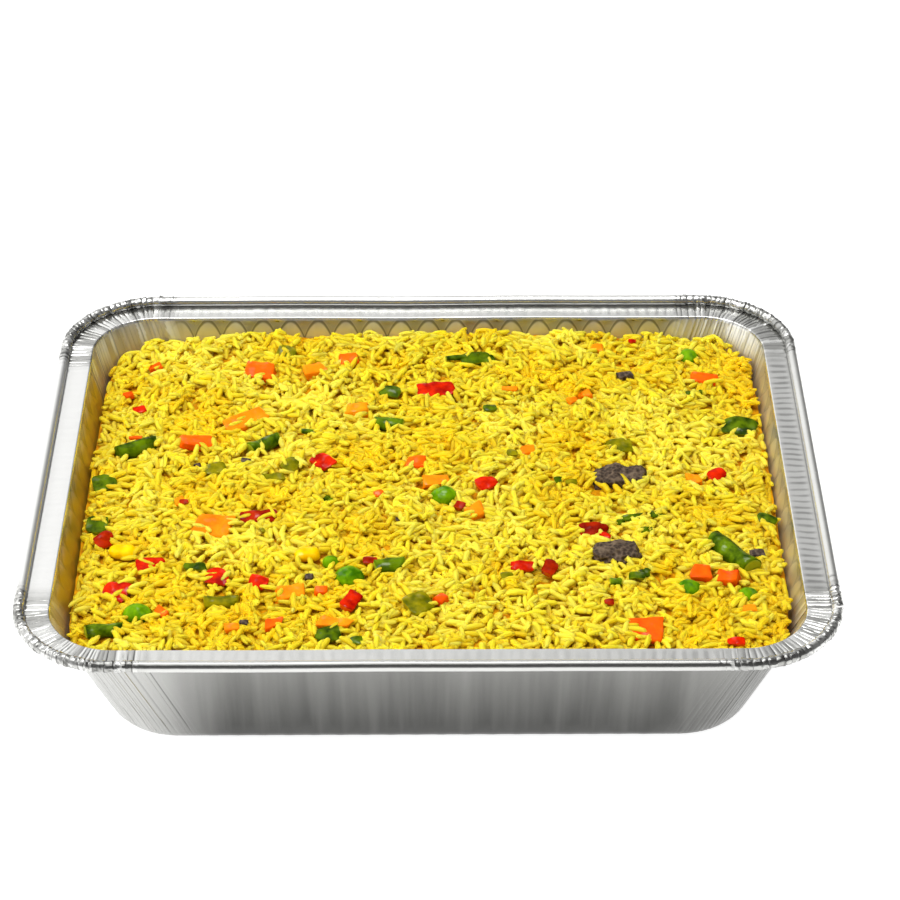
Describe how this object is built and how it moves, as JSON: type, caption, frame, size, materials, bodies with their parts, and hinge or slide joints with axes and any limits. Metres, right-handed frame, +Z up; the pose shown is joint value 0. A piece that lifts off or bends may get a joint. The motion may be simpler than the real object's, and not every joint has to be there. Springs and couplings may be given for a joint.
{
  "type": "foil tray meal",
  "caption": "Rectangular foil catering tray with a rolled rim, filled nearly to the top with yellow rice and mixed diced vegetables.",
  "frame": {"origin": "middle of the tray's underside, where it rests on the table", "axes": "+X along the long side to the viewer's right, +Y towards the far long side, +Z up"},
  "size_m": [0.325, 0.265, 0.0664],
  "materials": {
    "foil": "bright mill foil, creased and fluted",
    "rice": "moist yellow cooked rice",
    "carrot": "moist cooked carrot, deep orange",
    "carrot_pale": "moist cooked carrot, pale orange",
    "red": "glossy red pepper skin",
    "green": "glossy green pepper skin",
    "olive": "cooked olive green pepper",
    "pea": "glossy green pea skin",
    "bean": "glossy green bean skin",
    "corn": "glossy yellow sweetcorn",
    "brown": "rough dark brown cut surface"
  },
  "bodies": {
    "root": {"tray": "foil", "rice": "rice", "carrot_1": "carrot", "carrot_2": "carrot_pale", "carrot_3": "carrot", "carrot_4": "carrot_pale", "carrot_5": "carrot", "carrot_6": "carrot_pale", "carrot_7": "carrot", "carrot_8": "carrot_pale", "carrot_9": "carrot", "carrot_10": "carrot", "carrot_11": "carrot", "carrot_12": "carrot", "carrot_13": "carrot", "carrot_14": "carrot_pale", "carrot_15": "carrot_pale", "red_pepper_1": "red", "red_pepper_2": "red", "red_pepper_3": "red", "red_pepper_4": "red", "red_pepper_5": "red", "red_pepper_6": "red", "red_pepper_7": "red", "red_pepper_8": "red", "red_pepper_9": "red", "red_pepper_10": "red", "red_pepper_11": "red", "red_pepper_12": "red", "red_pepper_13": "red", "red_pepper_14": "red", "pea_1": "pea", "pea_2": "pea", "pea_3": "pea", "pea_4": "pea", "pea_5": "pea", "pea_6": "pea", "pea_7": "pea", "bean_1": "bean", "bean_2": "bean", "bean_3": "bean", "bean_4": "bean", "bean_5": "bean", "bean_6": "bean", "bean_7": "olive", "green_pepper_1": "olive", "green_pepper_2": "green", "green_pepper_3": "green", "green_pepper_4": "olive", "green_pepper_5": "green", "green_pepper_6": "green", "green_pepper_7": "green", "green_pepper_8": "olive", "green_pepper_9": "olive", "green_pepper_10": "olive", "green_pepper_11": "green", "corn_1": "corn", "corn_2": "corn", "brown_chunk_1": "brown", "brown_chunk_2": "brown"}
  },
  "joints": []
}
